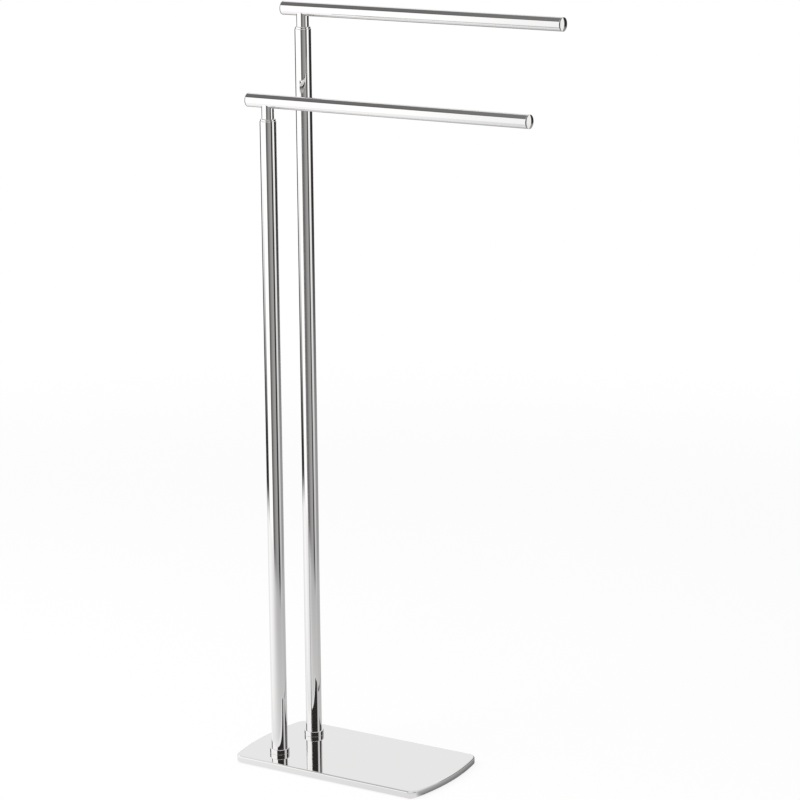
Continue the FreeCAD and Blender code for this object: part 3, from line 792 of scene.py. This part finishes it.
def bearingFrom(parts, middle):
    # the bearing of a place or direction on the floor, counted from middle, up to half a turn each way
    bearing = doMath("ARCTAN2", parts["X"], times(parts["Y"], -1.0))
    return doMath("WRAP", minus(bearing, middle), math.pi, -math.pi)


def inMirrors(rays):
    return doMath("MAXIMUM", rays["Is Glossy Ray"], rays["Is Transmission Ray"])


def buildPanel():
    # a mask for one panel of light on the sky, from the direction that is looked at
    group, given, result = newGroup(
        "studioPanel", {"Vector": (0.0, 0.0, 0.0), "Middle": 0.0, "Half": 0.5, "Low": -1.0, "High": 1.0,
                        "Soft": 0.05}, {"Mask": 0.0, "Across": 0.0})
    parts = axesOf(given["Vector"])
    offset = bearingFrom(parts, given["Middle"])
    elevation = doMath("ARCSINE", parts["Z"])
    mask = 1.0
    for reach in (minus(given["Half"], doMath("ABSOLUTE", offset)), minus(elevation, given["Low"]),
                  minus(given["High"], elevation)):
        mask = times(mapRange(reach, times(given["Soft"], -1.0), given["Soft"]), mask)
    setInput(result["Mask"], mask)
    setInput(result["Across"], mapRange(offset, times(given["Half"], -1.0), given["Half"], smooth=False))
    return group


def warm(level):
    return (level + studio["warmth"], level, level - studio["warmth"], 1.0)


def makeWorld():
    world = bpy.data.worlds.new("studio")
    scene.world = world
    tree = emptyTree(world)
    direction = addNode(tree, "ShaderNodeTexCoord").outputs["Generated"]
    panelGroup = buildPanel()
    rays = addNode(tree, "ShaderNodeLightPath").outputs
    first = doMath("LESS_THAN", rays["Glossy Depth"], 1.5)    # a whole number, 1 in the first mirror image
    turns = {"first": first, "later": minus(1.0, first)}
    seen = grey(studio["behind"])
    for panel in studio["panels"].values():
        angles = {"Middle": panel["middle"] + studio["facing"], "Half": panel["half"],
                  "Low": panel.get("low", -90), "High": panel["high"], "Soft": panel["soft"]}
        found = addNode(tree, "ShaderNodeGroup", node_tree=panelGroup, inputs={
            "Vector": direction, **{name: math.radians(angle) for name, angle in angles.items()}}).outputs
        left, right = (warm(panel.get(edge, panel.get("level"))) for edge in ("left", "right"))
        mask = found["Mask"]
        if "turn" in panel:
            mask = times(mask, turns[panel["turn"]])
        seen = mixColor(mask, seen, mixColor(found["Across"], left, right))
    color = mixColor(inMirrors(rays), grey(studio["daylight"]), seen)
    color = mixColor(rays["Is Camera Ray"], color, grey(studio["white"]))
    background = nodeOut(tree, "ShaderNodeBackground", {"Color": color})
    addNode(tree, "ShaderNodeOutputWorld", {0: background})
    world.cycles.sampling_method = "NONE"


makeWorld()


# floor, with the painted light and shade of a paper sweep that the chrome sees

sweep = {
    "radius": 3.2,
    "corners": 96,
    "middle": (-0.097, 0.0, 0.0),
    "paper": 0.9,              # how light the paper itself is
    "paperShare": 0.1,         # how much of real paper, with its shadows, is in what the chrome sees
    "whiteShare": 0.85,        # how much of the floor is plain white to the camera; the rest takes shadows
    "fadeStart": 1.2,          # where the floor melts into the white background
    "fadeEnd": 2.6,
    "paperMiddle": (-0.38, -0.01, 0.0),    # reflections see a round sheet of paper about here
    "paperEnd": 0.95,
    "paperGone": 1.25,
    # painted shade: bearing from the camera side in degrees, then the level the chrome sees near the posts and
    # far off
    "shades": ((-180, 0.62, 0.55), (-130, 0.98, 1.0), (-97, 1.08, 1.14), (-60, 0.94, 1.0), (-44, 0.87, 0.87),
               (-29, 0.81, 0.72), (-14, 0.74, 0.61), (0, 0.70, 0.53), (14, 0.66, 0.495), (44, 0.63, 0.49),
               (68, 0.62, 0.55), (97, 0.58, 0.47), (130, 0.58, 0.5), (180, 0.62, 0.55)),
    "nearTo": 0.12,
    "farFrom": 0.7,
    # close to the base: its lit front, and the shade that it throws to the right
    "front": {"level": 0.94, "levelRight": 0.82, "edge": 0.085, "reach": 0.035, "blend": 0.03},
    "right": {"level": 0.06, "levelAway": 0.64, "edge": 0.154, "bow": 0.0105, "reach": 0.025, "blend": 0.02,
              "depth": 0.078, "under": (-0.012, -0.006)},
}


def shadeRamp(tree, share, column):
    ramp = addNode(tree, "ShaderNodeValToRGB", {0: share})
    while len(ramp.color_ramp.elements) < len(sweep["shades"]):
        ramp.color_ramp.elements.new(0.5)
    for element, shade in zip(ramp.color_ramp.elements, sweep["shades"]):
        element.position = (shade[0] + 180) / 360
        element.color = warm(shade[column])
    return ramp.outputs[0]


# a painted lit patch in front of the base and a painted shadow beside its right end
def shadeByPlate(tree, shade):
    spot = axesOf(objectPlace(tree))
    front, right = sweep["front"], sweep["right"]
    along = mapRange(spot["X"], -right["edge"], right["edge"], front["level"], front["levelRight"],
                     smooth=False)
    ahead = minus(times(spot["Y"], -1.0), front["edge"])
    byFront = times(mapRange(ahead, front["reach"], front["reach"] + front["blend"], 1.0, 0.0),
                    mapRange(spot["X"], right["edge"], right["edge"] + front["blend"], 1.0, 0.0))
    byFront = times(byFront, doMath("GREATER_THAN", ahead, -front["blend"]))
    shade = mixColor(byFront, shade, along)
    across = over(spot["Y"], front["edge"])
    past = minus(doMath("MULTIPLY_ADD", times(across, across), right["bow"], spot["X"]), right["edge"])
    contact = mapRange(past, 0.0, right["reach"], right["level"], right["levelAway"], smooth=False)
    byRight = times(mapRange(past, right["reach"] + right["blend"], right["reach"]),
                    mapRange(past, *right["under"]))
    depth = mapRange(spot["Y"], -right["depth"], -right["depth"] + right["blend"])
    return mixColor(times(byRight, depth), shade, contact)


def mixShader(tree, factor, under, upper):
    return nodeOut(tree, "ShaderNodeMixShader", {0: factor, 1: under, 2: upper})


def floorMaterial():
    material = bpy.data.materials.new("paperSweep")
    tree = emptyTree(material)
    place = doVector("SUBTRACT", objectPlace(tree), sweep["middle"])
    away = doVector("LENGTH", place)
    bearing = bearingFrom(axesOf(place), math.radians(studio["facing"]))
    share = mapRange(bearing, -math.pi, math.pi, smooth=False)
    shade = mixColor(mapRange(away, sweep["nearTo"], sweep["farFrom"], smooth=False),
                     shadeRamp(tree, share, 1), shadeRamp(tree, share, 2))
    paper = nodeOut(tree, "ShaderNodeBsdfDiffuse", {"Color": grey(sweep["paper"])})
    white = nodeOut(tree, "ShaderNodeEmission", {"Color": grey(studio["white"])})
    shaded = nodeOut(tree, "ShaderNodeEmission", {"Color": shadeByPlate(tree, shade)})
    clear = nodeOut(tree, "ShaderNodeBsdfTransparent")
    rays = addNode(tree, "ShaderNodeLightPath").outputs
    whiteShare = mapRange(away, sweep["fadeStart"], sweep["fadeEnd"], sweep["whiteShare"], 1.0)
    offPaper = doVector("LENGTH", doVector("SUBTRACT", objectPlace(tree), sweep["paperMiddle"]))
    paperGone = mapRange(offPaper, sweep["paperEnd"], sweep["paperGone"])
    inChrome = mixShader(tree, paperGone, mixShader(tree, sweep["paperShare"], shaded, paper), clear)
    toRest = mixShader(tree, inMirrors(rays), paper, inChrome)
    result = mixShader(tree, rays["Is Camera Ray"], toRest, mixShader(tree, whiteShare, paper, white))
    addNode(tree, "ShaderNodeOutputMaterial", {0: result})
    return material


def flatSheet(name, corners, material):
    mesh = bpy.data.meshes.new(name)
    mesh.from_pydata(corners, [], [range(len(corners))])
    mesh.materials.append(material)
    sheet = bpy.data.objects.new(name, mesh)
    scene.collection.objects.link(sheet)
    return sheet


rim = [(sweep["radius"] * math.cos(turn), sweep["radius"] * math.sin(turn), 0.0)
       for turn in (fullTurn * step / sweep["corners"] for step in range(sweep["corners"]))]
flatSheet("floor", rim, floorMaterial())


# a white card beside the bar ends, one low over the left, and the lamps

sideCard = {
    "near": (0.80, -0.01),
    "far": (0.527, 0.36),
    "low": 0.0,
    "high": 1.35,
    "rise": (0.02, 0.85),      # heights between which it gets brighter
    "levelBelow": 0.60,
    "levelAbove": 1.15,
    "nearShare": 0.46,         # the near edge is this much darker ...
    "nearWidth": 0.38,         # ... over this share of its width
}

lowCard = {"left": -0.95, "right": 0.13, "front": -0.6, "back": 0.3, "height": 0.35,
           "levelFar": 1.22, "level": 0.84, "levelRight": 0.56,
           "turnFar": (-0.68, -0.60), "turn": (-0.33, -0.24)}


def glowCard(name, corners, paint):
    # a sheet of light for reflections only; paint gives its level and how solid it is
    material = bpy.data.materials.new(name)
    tree = emptyTree(material)
    place = objectPlace(tree)
    level, solid = paint(place, axesOf(place))
    glow = nodeOut(tree, "ShaderNodeEmission", {"Strength": level})
    clear = nodeOut(tree, "ShaderNodeBsdfTransparent")
    addNode(tree, "ShaderNodeOutputMaterial", {0: mixShader(tree, solid, clear, glow)})
    card = flatSheet(name, corners, material)
    card.visible_camera = card.visible_diffuse = card.visible_shadow = False


def paintSideCard(place, spot):
    along = Vector(sideCard["far"]) - Vector(sideCard["near"])
    share = doVector("DOT_PRODUCT", doVector("SUBTRACT", place, (*sideCard["near"], 0.0)),
                     (*(along / along.length_squared), 0.0))
    level = times(mapRange(share, 0.0, sideCard["nearWidth"], sideCard["nearShare"], 1.0),
                  mapRange(spot["Z"], *sideCard["rise"], sideCard["levelBelow"], sideCard["levelAbove"],
                           smooth=False))
    return level, 1.0


def paintLowCard(place, spot):
    # seen from below alone, and darker in two steps towards the right
    below = minus(1.0, addNode(place.id_data, "ShaderNodeNewGeometry").outputs["Backfacing"])
    level = mapRange(spot["X"], *lowCard["turnFar"], lowCard["levelFar"], lowCard["level"])
    return mapRange(spot["X"], *lowCard["turn"], level, lowCard["levelRight"]), below


glowCard("sideCard", [(*sideCard[end], sideCard[level]) for end, level in
                      (("near", "low"), ("far", "low"), ("far", "high"), ("near", "high"))], paintSideCard)
glowCard("lowCard", [(lowCard[across], lowCard[away], lowCard["height"]) for across, away in
                     (("left", "front"), ("left", "back"), ("right", "back"), ("right", "front"))],
         paintLowCard)

lamps = {
    "windowLeft": dict(azimuth=-52, elevation=38, distance=2.6, size=1.8, power=37),
    "overhead": dict(azimuth=60, elevation=78, distance=2.6, size=2.2, power=29),
}
lampsAimAt = (0.0, 0.0, 0.4)


def makeLamp(name, lamp):
    light = bpy.data.lights.new(name, "AREA")
    light.shape = "SQUARE"
    light.size = lamp["size"]
    light.energy = lamp["power"]
    towards = directionTo(lamp)
    holder = bpy.data.objects.new(name, light)
    holder.matrix_world = Matrix.Translation(towards * lamp["distance"] + Vector(lampsAimAt)) @ \
        towards.to_track_quat("Z", "Y").to_matrix().to_4x4()
    holder.visible_glossy = False
    scene.collection.objects.link(holder)


for name, lamp in lamps.items():
    makeLamp(name, lamp)
scene.view_settings.view_transform = "Standard"
print("studio:", len(studio["panels"]), "panels,", len(lamps), "lamps")
